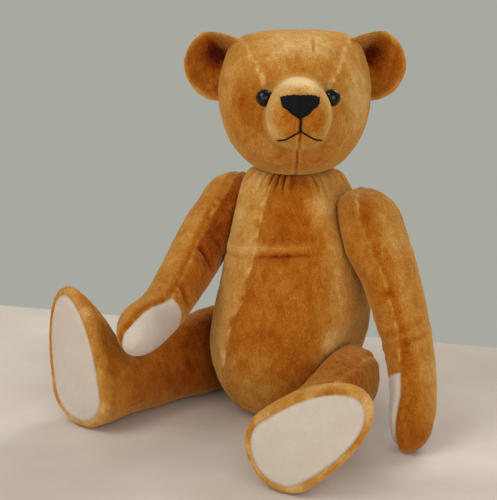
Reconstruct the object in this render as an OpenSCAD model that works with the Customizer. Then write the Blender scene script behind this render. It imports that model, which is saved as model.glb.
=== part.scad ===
// Jointed teddy bear, seated, in millimetres.
// Frame: +Z up, the bear's front towards -Y, its left side towards +X,
// origin at the middle of the flat seat of the body.
// Five disc-and-bolt joints carry the head, the arms and the legs.

/* [Body] */
// Height of the neck joint above the seat
neck_z = 185; // [178:1:192]
// Width of the body at the belly
belly_w = 124; // [116:1:130]
// Reach of the belly in front of the neck axis
belly_front = 69; // [62:1:74]
// Reach of the back behind the neck axis
belly_back = 59; // [54:1:64]

/* [Head] */
// Width of the head at the cheeks
head_w = 112; // [106:1:118]
// Height of the head from neck joint to crown
head_h = 104; // [100:1:110]
// Depth of the head without the muzzle
head_d = 104; // [98:1:110]
// Width of the muzzle
muzzle_w = 47; // [42:1:52]
// Reach of the muzzle's tip in front of the head's centre
muzzle_reach = 82; // [76:1:88]
// Diameter of the glass eyes
eye_d = 12; // [10:0.5:13]
// Height of the ears from their lower to their upper corner
ear_h = 52; // [46:1:60]
// How far the ears' front is hollowed
ear_cup = 12; // [8:1:16]

/* [Arms] */
// Length of an arm from its joint to the paw's tip
arm_l = 171; // [162:1:180]
// Width of an arm at the shoulder, seen from the side
arm_w = 49; // [46:1:56]
// Thickness of an arm at the shoulder, seen from the front
arm_t = 42; // [38:1:46]

/* [Legs] */
// Length of a leg from its joint to the sole
leg_l = 135; // [126:1:140]
// Width of a thigh, seen from the side
thigh_w = 62; // [56:1:66]
// Thickness of a leg, seen from the front
leg_t = 43; // [40:1:48]
// Length of a foot's sole
foot_l = 108; // [100:1:112]
// Width of a foot's sole
foot_w = 61; // [56:1:66]

/* [Pose] */
// Turn of the head to the bear's left
head_turn = 36; // [0:1:90]
// Tilt of the face upwards
head_tilt = 9; // [0:1:15]
// Forward swing of the left and the right arm
arm_swing = [6, 54]; // [-30:1:90]
// Outward splay of the left and the right arm's plane
arm_splay = [23, 8]; // [6:1:26]
// Outward turn of the left and the right arm's plane
arm_turn = [4, -12]; // [-20:1:15]
// Outward turn of the left and the right leg
leg_turn = [6, 8]; // [0:1:30]
// Outward lean of the left and the right leg's plane
leg_lean = [21, 8]; // [4:1:26]
// Further outward turn of the left and the right foot
toe_out = [31, 0]; // [-6:1:34]
// Rise of the left and the right foot above level
leg_rise = [1.5, -1]; // [-6:0.5:6]

/* [Covers] */
// Thickness of the plush cloth
cloth = 2; // [1.5:0.1:2.5]
// Gap between two sewn covers that turn on each other
joint_gap = 0.5; // [0.3:0.1:0.8]

/* [Joints] */
// Diameter of the hardboard discs of neck, arms and legs
disc_d = [34, 26, 34]; // [24:1:44]
// Thickness of a disc
disc_t = 3; // [2:0.5:4]
// Diameter of the bolts
bolt_d = 5; // [4:0.5:6]
// Diameter of the steel washers
washer_d = 15; // [12:1:20]

/* [Hidden] */
$fn = 48;

// Colours
PLUSH = [0.78, 0.50, 0.18];
FELT = [0.86, 0.83, 0.78];
WADDING = [0.93, 0.91, 0.86];
BOARD = [0.52, 0.36, 0.22];
STEEL = [0.72, 0.72, 0.74];
THREAD = [0.07, 0.06, 0.06];

// Sides of a joint, as indices into the pose lists
LEFT = 0;
RIGHT = 1;
// Discs, as indices into disc_d
NECK = 0;
ARM = 1;
LEG = 2;

// Joints: points on the plane between the two covers
SHOULDER = [46, 8, 146];
HIP = [[44, -18, 38.2], [49, -12, 35]];

half_gap = joint_gap / 2;
washer_t = 1.2;
bolt_head_t = 3.5;
nut_t = 5;
hex_d = 9.2;
bolt_tail = 14;
run = 0.05; // radial clearance of a bolt in a disc or a washer
slack = 0.2; // room between the wadding and what it surrounds
drawstring_r = 4.6; // the neck drawstring round the bolt
stitches = 9; // across the back seam
body_turn = 12; // of the body's seams to the bear's right
nose_z = 0; // height of the nose in the head's own frame
eye_pos = [25.5, -49, 4];
ear_pos = [59, 8, 26];
ear_skin = 5; // both layers of an ear
// The head's centre strip: reach backwards, half width
gusset_outline = [[-100, 11], [-70, 12.5], [-57, 16], [-48, 21.5], [-40, 29], [-22, 37.5], [0, 41], [18, 38],
    [40, 26], [62, 12]];
BIG = 400;

// ---------- Smooth lofts ----------

// Catmull-Rom value of one column of a table at row position t
function spline(rows, t, c) =
    let (n = len(rows) - 1, i = min(floor(t), n - 1), f = t - i,
         p0 = rows[max(i - 1, 0)][c], p1 = rows[i][c],
         p2 = rows[i + 1][c], p3 = rows[min(i + 2, n)][c])
    0.5 * (2 * p1 + (p2 - p0) * f + (2 * p0 - 5 * p1 + 4 * p2 - p3) * f * f
        + (3 * p1 - p0 - 3 * p2 + p3) * f * f * f);

// A whole row of a table at row position t
function row_at(rows, t) = [for (c = [0 : len(rows[0]) - 1]) spline(rows, t, c)];

// Sign-keeping power, for rounded-box outlines
function spow(v, e) = sign(v) * pow(abs(v), e);

// How far v has come from lo to hi, from 0 to 1
function share(v, lo, hi) = min(max((v - lo) / (hi - lo), 0), 1);

// A closed skin over rings of n points each, with a flat fan at each end
module skin(rings) {
    m = len(rings);
    n = len(rings[0]);
    first = m * n;
    function middle(r) = [for (c = [0 : 2]) let (v = [for (p = r) p[c]]) v * [for (p = r) 1] / n];
    sides = [
        for (i = [0 : m - 2], k = [0 : n - 1])
            let (a = i * n + k, b = i * n + (k + 1) % n, c = a + n, d = b + n)
            each [[a, d, b], [a, c, d]]
    ];
    ends = [
        for (k = [0 : n - 1]) each [
            [first, k, (k + 1) % n],
            [first + 1, (m - 1) * n + (k + 1) % n, (m - 1) * n + k]
        ]
    ];
    polyhedron(
        points = concat([for (r = rings) each r], [middle(rings[0]), middle(rings[m - 1])]),
        faces = concat(sides, ends),
        convexity = 6
    );
}

// ---------- Outlines of the soft parts, each drawn inwards by "inset" ----------

// Body rows: height, half width, reach forwards, reach backwards
function body_rows() =
    let (w = belly_w / 2, f = belly_front, b = belly_back, h = neck_z / 181)
    [
        [-5 * h, 0.33 * w, 0.33 * f, 0.35 * b],
        [2 * h, 0.60 * w, 0.68 * f, 0.66 * b],
        [14 * h, 0.80 * w, 0.87 * f, 0.86 * b],
        [32 * h, 0.94 * w, 0.98 * f, 0.98 * b],
        [52 * h, w, f, b],
        [74 * h, 0.99 * w, 0.93 * f, 0.96 * b],
        [98 * h, 0.95 * w, 0.77 * f, 0.90 * b],
        [124 * h, 0.88 * w, 0.62 * f, 0.81 * b],
        [148 * h, 0.81 * w, 0.50 * f, 0.74 * b],
        [164 * h, 0.74 * w, 0.43 * f, 0.66 * b],
        [175 * h, 0.62 * w, 0.36 * f, 0.54 * b],
        [184 * h, 0.40 * w, 0.27 * f, 0.34 * b]
    ];

module body_form(inset) {
    rows = body_rows();
    sides = 28;
    steps = 20;
    skin([
        for (i = [0 : steps])
            let (r = row_at(rows, i * (len(rows) - 1) / steps), n = 1 - 0.14 * share(r[0], 95, 130))
            [for (k = [0 : sides - 1])
                let (a = 360 * k / sides, s = spow(sin(a), n), c = spow(cos(a), n))
                [(r[1] - inset) * c, s * (s > 0 ? r[3] - inset : r[2] - inset), r[0]]]
    ]);
}

// Head rows: height above the head's centre, half width, reach forwards, reach backwards
function head_rows() =
    let (w = head_w / 2, d = head_d / 2, h = head_h / 110)
    [
        [-58 * h, 0.28 * w, 0.30 * d, 0.30 * d],
        [-51 * h, 0.55 * w, 0.58 * d, 0.56 * d],
        [-39 * h, 0.76 * w, 0.80 * d, 0.75 * d],
        [-22 * h, 0.92 * w, 0.94 * d, 0.90 * d],
        [-3 * h, w, 0.98 * d, 0.98 * d],
        [15 * h, w, 0.95 * d, d],
        [31 * h, 0.94 * w, 0.85 * d, 0.95 * d],
        [43 * h, 0.85 * w, 0.69 * d, 0.80 * d],
        [51 * h, 0.66 * w, 0.46 * d, 0.56 * d],
        [55 * h, 0.28 * w, 0.16 * d, 0.20 * d]
    ];

// Muzzle rows: reach in front of the head's centre, half width, half height, height of the middle
function muzzle_rows() =
    let (w = muzzle_w / 2, m = muzzle_reach / 84)
    [
        [20 * m, 1.19 * w, 1.21 * w, -4],
        [42 * m, 1.13 * w, 1.17 * w, -6],
        [56 * m, 1.06 * w, 1.13 * w, -6.5],
        [68 * m, 0.98 * w, 1.04 * w, -6.5],
        [76 * m, 0.87 * w, 0.94 * w, -6],
        [81 * m, 0.66 * w, 0.72 * w, -5],
        [83.5 * m, 0.36 * w, 0.40 * w, -4],
        [84 * m, 0.14 * w, 0.16 * w, -3.5]
    ];

module head_ball(inset) {
    rows = head_rows();
    sides = 28;
    steps = 16;
    skin([
        for (i = [0 : steps])
            let (r = row_at(rows, i * (len(rows) - 1) / steps),
                 z = r[0] + inset * (i < 3 ? 1 : i > steps - 3 ? -1 : 0) * (i == 0 || i == steps ? 1 : 0.6))
            [for (k = [0 : sides - 1])
                let (a = 360 * k / sides, s = spow(sin(a), 0.93), c = spow(cos(a), 0.93))
                [(r[1] - inset) * c, s * (s > 0 ? r[3] - inset : r[2] - inset), z]]
    ]);
}

module muzzle_form(inset) {
    rows = muzzle_rows();
    sides = 20;
    steps = 9;
    skin([
        for (i = [0 : steps])
            let (r = row_at(rows, i * (len(rows) - 1) / steps), y = min(r[0], muzzle_reach) - (i > 2 ? inset : 0))
            [for (k = [0 : sides - 1])
                let (a = 360 * k / sides)
                [(r[1] - inset) * cos(a), -y, r[3] + (r[2] - inset) * sin(a)]]
    ]);
}

// The head in its own frame: centre of the head at the origin, face towards -Y
module head_form(inset) {
    head_ball(inset);
    muzzle_form(inset);
}

// Arm rows along its line: y, z, half width in the joint's plane, half thickness, middle of thickness
function arm_rows() =
    let (w = arm_w / 2, t = arm_t / 2, l = arm_l / 158)
    [
        [0, 25, 0.22 * w, 0.24 * t, 0.55 * t],
        [0, 20, 0.62 * w, 0.62 * t, 0.62 * t],
        [0, 6, 0.95 * w, 0.90 * t, 0.88 * t],
        [-0, -14, w, t, 0.90 * t],
        [-1, -40, 0.98 * w, 0.98 * t, 0.98 * t],
        [-2, -68 * l, 0.90 * w, 0.92 * t, 1.00 * t],
        [-6, -94 * l, 0.80 * w, 0.86 * t, 1.00 * t],
        [-15, -117 * l, 0.75 * w, 0.82 * t, 0.98 * t],
        [-27, -136 * l, 0.70 * w, 0.76 * t, 0.92 * t],
        [-35, -147 * l, 0.52 * w, 0.57 * t, 0.86 * t],
        [-40, -153 * l, 0.20 * w, 0.22 * t, 0.80 * t]
    ];

module arm_form(inset) {
    rows = arm_rows();
    sides = 22;
    steps = 18;
    top = len(rows) - 1;
    skin([
        for (i = [0 : steps])
            let (t = i * top / steps, r = row_at(rows, t),
                 u = row_at(rows, max(t - 0.2, 0)), v = row_at(rows, min(t + 0.2, top)),
                 d = [v[0] - u[0], v[1] - u[1]], g = d / norm(d),
                 e = inset * (i == 0 ? 1 : i == steps ? -1 : 0),
                 flat = 1 - 0.5 * share(r[1], -45, -20))
            [for (k = [0 : sides - 1])
                let (a = -360 * k / sides, n = sin(a) < 0 ? flat : 1,
                     q = (r[2] - inset) * spow(cos(a), n), x = r[4] + (r[3] - inset) * spow(sin(a), n))
                [x, r[0] + e * g[0] + q * g[1], r[1] + e * g[1] - q * g[0]]]
    ]);
}

// Leg rows, standing: height, reach forwards, reach backwards, half thickness, middle of thickness
function leg_rows() =
    let (w = thigh_w / 2, t = leg_t / 2, l = leg_l / 133, heel = 28, toe = foot_l - heel, f = foot_w / 2)
    [
        [30, 0.24 * w, 0.24 * w, 0.25 * t, 0.55 * t],
        [24, 0.66 * w, 0.66 * w, 0.66 * t, 0.66 * t],
        [6, w, w, 0.96 * t, 0.90 * t],
        [-24, 0.98 * w, w, t, 0.94 * t],
        [-50 * l, 0.88 * w, 0.97 * w, 0.98 * t, 1.00 * t],
        [-76 * l, 0.80 * w, 0.94 * w, 0.98 * t, 1.08 * t],
        [-96 * l, 0.40 * toe, 0.98 * heel, 1.10 * t, 1.20 * t],
        [-110 * l, 0.72 * toe, heel, 0.92 * f, 1.32 * t],
        [-122 * l, 0.96 * toe, heel, f, 1.42 * t],
        [-129 * l, toe, 0.98 * heel, f, 1.45 * t],
        [-133 * l, 0.94 * toe, 0.85 * heel, 0.86 * f, 1.46 * t]
    ];

module leg_form(inset, side) {
    rows = leg_rows();
    sides = 24;
    steps = 18;
    skin([
        for (i = [0 : steps])
            let (r = row_at(rows, i * (len(rows) - 1) / steps),
                 z = r[0] + inset * (i == 0 ? -1 : i == steps ? 1 : 0),
                 turn = toe_out[side] * share(-z, 0, leg_l),
                 flat = 1 - 0.5 * share(z, -55, -25))
            [for (k = [0 : sides - 1])
                let (a = -360 * k / sides, n = cos(a) < 0 ? flat : 1, s = spow(sin(a), n),
                     u = (r[3] - inset) * spow(cos(a), n), v = s * (s > 0 ? r[2] - inset : r[1] - inset))
                [r[4] + u * cos(turn) - v * sin(turn), u * sin(turn) + v * cos(turn), z]]
    ]);
}

// ---------- Where the joints are ----------

// A limb's frame: +X outwards along its joint, -Z along the limb, -Y its front.
// The right limbs are mirror images of the left ones.
module arm_place(side) {
    mirror([side == RIGHT ? 1 : 0, 0, 0])
        translate(SHOULDER)
            rotate([0, 0, arm_turn[side]])
                rotate([0, -arm_splay[side], 0])
                    children();
}

module arm_pose(side) {
    arm_place(side) rotate([-arm_swing[side], 0, 0]) children();
}

module leg_place(side) {
    mirror([side == RIGHT ? 1 : 0, 0, 0])
        translate(HIP[side])
            rotate([0, 0, leg_turn[side]])
                rotate([0, leg_lean[side], 0])
                    children();
}

module leg_pose(side) {
    leg_place(side) rotate([-90 - leg_rise[side], 0, 0]) children();
}

// The neck joint's frame, with +X upwards as on a limb
module neck_place() {
    translate([0, 0, neck_z]) rotate([0, -90, 0]) children();
}

module head_pose() {
    translate([0, 0, neck_z])
        rotate([0, 0, head_turn])
            translate([0, 0, head_h / 2])
                rotate([-head_tilt, 0, 0])
                    children();
}

// Everything beyond x in a joint's frame
module beyond(x) {
    translate([x, -BIG / 2, -BIG / 2]) cube(BIG);
}

// ---------- Joint hardware, along +X in a joint's frame ----------

module rod(r, from, to) {
    translate([from, 0, 0]) rotate([0, 90, 0]) cylinder(r = r, h = to - from);
}

module ring(r, hole, from, to) {
    difference() {
        rod(r, from, to);
        rod(hole, from - 1, to + 1);
    }
}

module limb_disc(kind) {
    x = half_gap + cloth;
    color(BOARD) ring(disc_d[kind] / 2, bolt_d / 2 + run, x, x + disc_t);
}

module body_disc(kind) {
    x = half_gap + cloth;
    color(BOARD) ring(disc_d[kind] / 2, bolt_d / 2 + run, -x - disc_t, -x);
}

module limb_washer() {
    x = half_gap + cloth + disc_t;
    color(STEEL) ring(washer_d / 2, bolt_d / 2 + run, x, x + washer_t);
}

module body_washer() {
    x = half_gap + cloth + disc_t;
    color(STEEL) ring(washer_d / 2, bolt_d / 2 + run, -x - washer_t, -x);
}

module joint_bolt() {
    x = half_gap + cloth + disc_t + washer_t;
    color(STEEL) {
        rod(bolt_d / 2, -bolt_tail, x + 1);
        translate([x, 0, 0]) rotate([0, 90, 0]) cylinder(d = hex_d, h = bolt_head_t, $fn = 6);
    }
}

module joint_nut() {
    x = half_gap + cloth + disc_t + washer_t + 0.2;
    color(STEEL) difference() {
        translate([-x - nut_t, 0, 0]) rotate([0, 90, 0]) cylinder(d = hex_d, h = nut_t, $fn = 6);
        rod(bolt_d / 2 + 0.02, -x - nut_t - 1, 1);
    }
}

// Room in the wadding for the hardware on a joint's far side (way 1) or near side (way -1)
module joint_room(kind, way) {
    x = half_gap + cloth + disc_t;
    mirror([way < 0 ? 1 : 0, 0, 0]) {
        rod(disc_d[kind] / 2 + slack, -1, x + slack);
        rod(washer_d / 2 + slack, -1, x + washer_t + slack);
        rod(hex_d / 2 + slack, -1, bolt_tail + 1);
    }
}

module bolt_hole() {
    rod(bolt_d / 2 + 0.5, -30, 30);
}

// ---------- Body ----------

// The body's solid, cut flat at the seat and at each joint
module body_solid(inset) {
    difference() {
        body_form(inset);
        translate([-BIG / 2, -BIG / 2, -BIG + inset]) cube(BIG);
        neck_place() beyond(-half_gap - inset);
        for (side = [LEFT, RIGHT]) {
            arm_place(side) beyond(-half_gap - inset);
            leg_place(side) beyond(-half_gap - inset);
        }
    }
}

module body_panel(side) {
    color(PLUSH) difference() {
        body_solid(0);
        body_solid(cloth);
        rotate([0, 0, -body_turn]) translate([side == LEFT ? -BIG : 0, -BIG / 2, -BIG / 2]) cube(BIG);
        neck_place() rod(drawstring_r + 0.7, -10, 10);
        arm_place(side) rod(disc_d[ARM] / 2 + run, -half_gap - cloth - disc_t - run, -half_gap - cloth);
        arm_place(side) bolt_hole();
        leg_place(side) bolt_hole();
    }
}

module body_stuffing() {
    color(WADDING) difference() {
        body_solid(cloth + slack);
        neck_place() joint_room(NECK, -1);
        for (side = [LEFT, RIGHT]) {
            arm_place(side) joint_room(ARM, -1);
            leg_place(side) joint_room(LEG, -1);
        }
    }
}

// Ladder stitches that close the back seam after filling
module back_closing_stitches() {
    color(THREAD) difference() {
        intersection() {
            for (i = [0 : stitches - 1])
                rotate([0, 0, -body_turn]) translate([-3, 0, 66 + i * 8]) cube([6, BIG, 1]);
            body_form(-0.7);
        }
        body_form(0);
    }
}

// The thread that gathers the neck opening round the bolt
module neck_drawstring() {
    color(THREAD)
        translate([0, 0, neck_z - half_gap - cloth / 2])
            rotate_extrude() translate([drawstring_r, 0]) circle(d = 1.2, $fn = 16);
}

module body_washers() {
    neck_place() body_washer();
    for (side = [LEFT, RIGHT]) {
        arm_place(side) body_washer();
        leg_place(side) body_washer();
    }
}

// ---------- Head ----------

// The head's solid in the head's own frame, cut flat at the neck
module head_solid(inset) {
    difference() {
        head_form(inset);
        below_neck(half_gap + inset);
    }
}

// Everything lower than h above the neck joint, in the head's own frame
module below_neck(h) {
    rotate([head_tilt, 0, 0])
        translate([-BIG / 2, -BIG / 2, -head_h / 2 + h - BIG])
            cube(BIG);
}

// The centre strip from the nose over the crown to the neck
module gusset_room() {
    intersection() {
        translate([0, 0, -BIG / 2]) linear_extrude(BIG) polygon([
            for (p = gusset_outline) [p[1], p[0]],
            for (i = [len(gusset_outline) - 1 : -1 : 0]) [-gusset_outline[i][1], gusset_outline[i][0]]
        ]);
        rotate([90, 0, 90])
            linear_extrude(BIG, center = true)
                polygon([[-100, 0], [-30, 0], [20, -58], [100, -58], [100, 100], [-100, 100]]);
    }
}

module head_cover() {
    difference() {
        head_solid(0);
        head_solid(cloth);
        head_frame_neck() rod(bolt_d / 2 + 0.5, -10, 10);
        for (way = [-1, 1]) eye_place(way) eye_shank(0.3);
    }
}

// The neck joint's frame, seen from the head's own frame
module head_frame_neck() {
    rotate([head_tilt, 0, 0])
        translate([0, 0, -head_h / 2])
            rotate([0, -90, 0])
                children();
}

module head_gusset() {
    color(PLUSH) head_pose() intersection() {
        head_cover();
        gusset_room();
    }
}

module head_panel(way) {
    color(PLUSH) head_pose() difference() {
        head_cover();
        gusset_room();
        translate([way > 0 ? -BIG : 0, -BIG / 2, -BIG / 2]) cube(BIG);
    }
}

module head_stuffing() {
    color(WADDING) head_pose() difference() {
        head_solid(cloth + slack);
        head_frame_neck() joint_room(NECK, 1);
        for (way = [-1, 1]) eye_place(way) eye_shank(2 * slack);
    }
}

// An eye's frame: -Y along the eye's line of sight
module eye_place(way) {
    translate([way * eye_pos[0], eye_pos[1], eye_pos[2]]) rotate([0, 0, way * 22]) children();
}

module eye_shank(room) {
    rotate([-90, 0, 0]) cylinder(r = 1.6 + room, h = 14);
}

// A glass eye: a ball on a wire shank
module eye(way) {
    color(THREAD) head_pose() difference() {
        eye_place(way) {
            rotate([90, 0, 0]) sphere(d = eye_d);
            eye_shank(0);
        }
        difference() {
            head_form(0);
            eye_place(way) eye_shank(0.3);
        }
    }
}

// A nose worked in black thread over the muzzle's tip
module nose() {
    w = muzzle_w / 2;
    color(THREAD) head_pose() difference() {
        intersection() {
            muzzle_form(-1.4);
            rotate([90, 0, 0]) linear_extrude(BIG)
                polygon([
                    [-0.52 * w, nose_z + 8], [0.52 * w, nose_z + 8], [0.58 * w, nose_z + 4],
                    [0.54 * w, nose_z - 1], [0, nose_z - 8], [-0.54 * w, nose_z - 1], [-0.58 * w, nose_z + 4]
                ]);
        }
        head_form(0);
    }
}

// The mouth's three long stitches
module mouth() {
    color(THREAD) head_pose() difference() {
        intersection() {
            muzzle_form(-1);
            rotate([90, 0, 0]) linear_extrude(BIG) {
                translate([-0.7, nose_z - 18.2]) square([1.4, 9.7]);
                for (way = [0, 1]) mirror([way, 0])
                    polygon([
                        [0, nose_z - 17.3], [0, nose_z - 18.9], [9, nose_z - 22.3],
                        [16, nose_z - 26.7], [16.4, nose_z - 25.3], [9, nose_z - 20.9]
                    ]);
            }
        }
        head_form(0);
    }
}

// An ear's frame: -Y out of its hollow
module ear_place(way) {
    head_pose() mirror([way > 0 ? 0 : 1, 0, 0])
        translate(ear_pos)
            rotate([0, 38, 0])
                rotate([0, 0, -14])
                    children();
}

// A round dish about the Y axis, from depth a to depth b behind its back
module dish(a, b) {
    rim = ear_h / 2;
    ball = (rim * rim + ear_cup * ear_cup) / (2 * ear_cup);
    rotate([90, 90, 0]) rotate_extrude($fn = 64) difference() {
        intersection() {
            translate([0, ball]) circle(ball + a, $fn = 96);
            square([rim + 2, ear_cup]);
        }
        translate([0, ball]) circle(ball + b, $fn = 96);
    }
}

module ear_layer(way, a, b) {
    color(PLUSH) difference() {
        ear_place(way) dish(a, b);
        head_pose() head_form(0);
    }
}

// ---------- Arms ----------

module arm_solid(inset) {
    difference() {
        arm_form(inset);
        mirror([1, 0, 0]) beyond(-half_gap - inset);
    }
}

// What lies on the inner side of an arm's seam
module arm_inner_room() {
    translate([arm_t / 2 - BIG, -BIG / 2, -BIG / 2]) cube(BIG);
}

// What lies beyond the paw pad's edge
module paw_room() {
    translate([0, -8, -arm_l * 0.70]) rotate([-22, 0, 0]) translate([-BIG / 2, -BIG / 2, -BIG]) cube(BIG);
}

module arm_cover() {
    difference() {
        arm_solid(0);
        arm_solid(cloth);
        bolt_hole();
    }
}

module arm_outer_panel(side) {
    color(PLUSH) arm_pose(side) difference() {
        arm_cover();
        arm_inner_room();
    }
}

module arm_inner_panel(side) {
    color(PLUSH) arm_pose(side) difference() {
        intersection() {
            arm_cover();
            arm_inner_room();
        }
        paw_room();
    }
}

module arm_paw_pad(side) {
    color(FELT) arm_pose(side) intersection() {
        arm_cover();
        arm_inner_room();
        paw_room();
    }
}

module arm_stuffing(side) {
    color(WADDING) arm_pose(side) difference() {
        arm_solid(cloth + slack);
        joint_room(ARM, 1);
    }
}

// ---------- Legs ----------

module leg_solid(inset, side) {
    difference() {
        leg_form(inset, side);
        mirror([1, 0, 0]) beyond(-half_gap - inset);
    }
}

module leg_inner_room() {
    translate([leg_t * 0.55 - BIG, -BIG / 2, -BIG / 2]) cube(BIG);
}

// What lies below the seam round the sole
module sole_room() {
    translate([-BIG / 2, -BIG / 2, -leg_l - BIG + cloth]) cube(BIG);
}

module leg_cover(side) {
    difference() {
        leg_solid(0, side);
        leg_solid(cloth, side);
        bolt_hole();
    }
}

module leg_outer_panel(side) {
    color(PLUSH) leg_pose(side) difference() {
        leg_cover(side);
        leg_inner_room();
        sole_room();
    }
}

module leg_inner_panel(side) {
    color(PLUSH) leg_pose(side) difference() {
        intersection() {
            leg_cover(side);
            leg_inner_room();
        }
        sole_room();
    }
}

module leg_foot_pad(side) {
    color(FELT) leg_pose(side) intersection() {
        leg_cover(side);
        sole_room();
    }
}

module leg_stuffing(side) {
    color(WADDING) leg_pose(side) difference() {
        leg_solid(cloth + slack, side);
        joint_room(LEG, 1);
    }
}

// ---------- Sub-parts ----------

body_panel(LEFT);  // body_left_panel
body_panel(RIGHT);  // body_right_panel
body_stuffing();
back_closing_stitches();
neck_drawstring();
body_washers();
neck_place() body_disc(NECK);  // neck_body_disc
arm_place(LEFT) body_disc(ARM);  // shoulder_left_body_disc
arm_place(RIGHT) body_disc(ARM);  // shoulder_right_body_disc
leg_place(LEFT) body_disc(LEG);  // hip_left_body_disc
leg_place(RIGHT) body_disc(LEG);  // hip_right_body_disc
head_gusset();
head_panel(1);  // head_left_panel
head_panel(-1);  // head_right_panel
head_stuffing();
ear_layer(1, ear_skin / 2, 0);  // ear_left_front
ear_layer(1, ear_skin, ear_skin / 2);  // ear_left_back
ear_layer(-1, ear_skin / 2, 0);  // ear_right_front
ear_layer(-1, ear_skin, ear_skin / 2);  // ear_right_back
eye(1);  // eye_left
eye(-1);  // eye_right
nose();
mouth();
neck_place() limb_disc(NECK);  // neck_head_disc
neck_place() limb_washer();  // neck_washer
neck_place() joint_bolt();  // neck_bolt
neck_place() joint_nut();  // neck_nut
arm_outer_panel(LEFT);  // arm_left_outer_panel
arm_inner_panel(LEFT);  // arm_left_inner_panel
arm_paw_pad(LEFT);  // arm_left_paw_pad
arm_stuffing(LEFT);  // arm_left_stuffing
arm_pose(LEFT) limb_disc(ARM);  // shoulder_left_arm_disc
arm_pose(LEFT) limb_washer();  // shoulder_left_washer
arm_pose(LEFT) joint_bolt();  // shoulder_left_bolt
arm_pose(LEFT) joint_nut();  // shoulder_left_nut
arm_outer_panel(RIGHT);  // arm_right_outer_panel
arm_inner_panel(RIGHT);  // arm_right_inner_panel
arm_paw_pad(RIGHT);  // arm_right_paw_pad
arm_stuffing(RIGHT);  // arm_right_stuffing
arm_pose(RIGHT) limb_disc(ARM);  // shoulder_right_arm_disc
arm_pose(RIGHT) limb_washer();  // shoulder_right_washer
arm_pose(RIGHT) joint_bolt();  // shoulder_right_bolt
arm_pose(RIGHT) joint_nut();  // shoulder_right_nut
leg_outer_panel(LEFT);  // leg_left_outer_panel
leg_inner_panel(LEFT);  // leg_left_inner_panel
leg_foot_pad(LEFT);  // leg_left_foot_pad
leg_stuffing(LEFT);  // leg_left_stuffing
leg_pose(LEFT) limb_disc(LEG);  // hip_left_leg_disc
leg_pose(LEFT) limb_washer();  // hip_left_washer
leg_pose(LEFT) joint_bolt();  // hip_left_bolt
leg_pose(LEFT) joint_nut();  // hip_left_nut
leg_outer_panel(RIGHT);  // leg_right_outer_panel
leg_inner_panel(RIGHT);  // leg_right_inner_panel
leg_foot_pad(RIGHT);  // leg_right_foot_pad
leg_stuffing(RIGHT);  // leg_right_stuffing
leg_pose(RIGHT) limb_disc(LEG);  // hip_right_leg_disc
leg_pose(RIGHT) limb_washer();  // hip_right_washer
leg_pose(RIGHT) joint_bolt();  // hip_right_bolt
leg_pose(RIGHT) joint_nut();  // hip_right_nut
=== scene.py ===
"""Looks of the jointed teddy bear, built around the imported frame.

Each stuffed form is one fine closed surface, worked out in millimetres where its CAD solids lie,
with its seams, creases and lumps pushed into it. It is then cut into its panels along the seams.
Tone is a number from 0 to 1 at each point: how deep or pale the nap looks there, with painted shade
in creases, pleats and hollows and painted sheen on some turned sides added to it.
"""
import math

import bpy
import numpy as np
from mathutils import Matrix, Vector


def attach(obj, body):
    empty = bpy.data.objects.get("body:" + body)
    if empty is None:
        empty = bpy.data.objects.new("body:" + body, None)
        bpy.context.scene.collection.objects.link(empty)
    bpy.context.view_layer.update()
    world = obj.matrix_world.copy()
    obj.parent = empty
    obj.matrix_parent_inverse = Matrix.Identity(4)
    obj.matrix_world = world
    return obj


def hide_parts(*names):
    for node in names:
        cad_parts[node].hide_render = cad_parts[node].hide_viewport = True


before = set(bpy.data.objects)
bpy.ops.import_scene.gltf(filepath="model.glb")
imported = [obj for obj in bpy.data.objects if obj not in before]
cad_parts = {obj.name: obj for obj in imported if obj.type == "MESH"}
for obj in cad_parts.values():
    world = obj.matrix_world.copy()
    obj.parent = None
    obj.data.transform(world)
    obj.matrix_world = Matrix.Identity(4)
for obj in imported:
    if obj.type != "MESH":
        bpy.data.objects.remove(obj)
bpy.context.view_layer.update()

MM = 0.001
FINE = 1.0  # share of the full mesh density
LEFT, RIGHT = 0, 1  # the bear's own sides; a pair of values below is for (left, right)

# ---- the bear's measures (mm, degrees)
NECK_Z = 185.0
BELLY_W, BELLY_F, BELLY_B = 124.0, 69.0, 59.0
HEAD_W, HEAD_H, HEAD_D = 112.0, 104.0, 104.0
HEAD_TURN, HEAD_TILT = 36.0, 9.0
ARM_L, ARM_W, ARM_T = 171.0, 49.0, 42.0
ARM_SWING, ARM_SPLAY, ARM_TURN = (6.0, 54.0), (23.0, 8.0), (4.0, -12.0)
LEG_L, THIGH_W, LEG_T, FOOT_L, FOOT_W, HEEL = 135.0, 62.0, 43.0, 108.0, 61.0, 28.0
LEG_TURN, LEG_LEAN, LEG_RISE, TOE_OUT = (6.0, 8.0), (21.0, 8.0), (1.5, -1.0), (31.0, 0.0)
SHOULDER = (46.0, 8.0, 146.0)
HIP = ((44.0, -18.0, 38.2), (49.0, -12.0, 35.0))
BODY_TURN = 12.0
GAP = 0.35  # from a joint's plane to the cloth on either side
FLOOR_GAP = 0.3  # from the floor to the limbs' cloth

# rows and columns of each form's surface
BODY_MESH, ARM_MESH, LEG_MESH, SOLE_ROWS = (210, 380), (220, 150), (210, 250), 34
HEAD_MESH, EAR_MESH, EYE_MESH = (260, 380), (120, 240), (48, 64)


# ---- small tools
def rot(axis, deg):
    c, s = math.cos(math.radians(deg)), math.sin(math.radians(deg))
    m = np.eye(4)
    i, j = {"x": (1, 2), "y": (2, 0), "z": (0, 1)}[axis]
    m[i, i] = m[j, j] = c
    m[i, j], m[j, i] = -s, s
    return m


def shift(v):
    m = np.eye(4)
    m[:3, 3] = v
    return m


def side_flip(side):
    return np.diag([-1.0 if side == RIGHT else 1.0, 1, 1, 1])


def arm_place(side):
    return side_flip(side) @ shift(SHOULDER) @ rot("z", ARM_TURN[side]) @ rot("y", -ARM_SPLAY[side])


def arm_pose(side):
    return arm_place(side) @ rot("x", -ARM_SWING[side])


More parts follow.
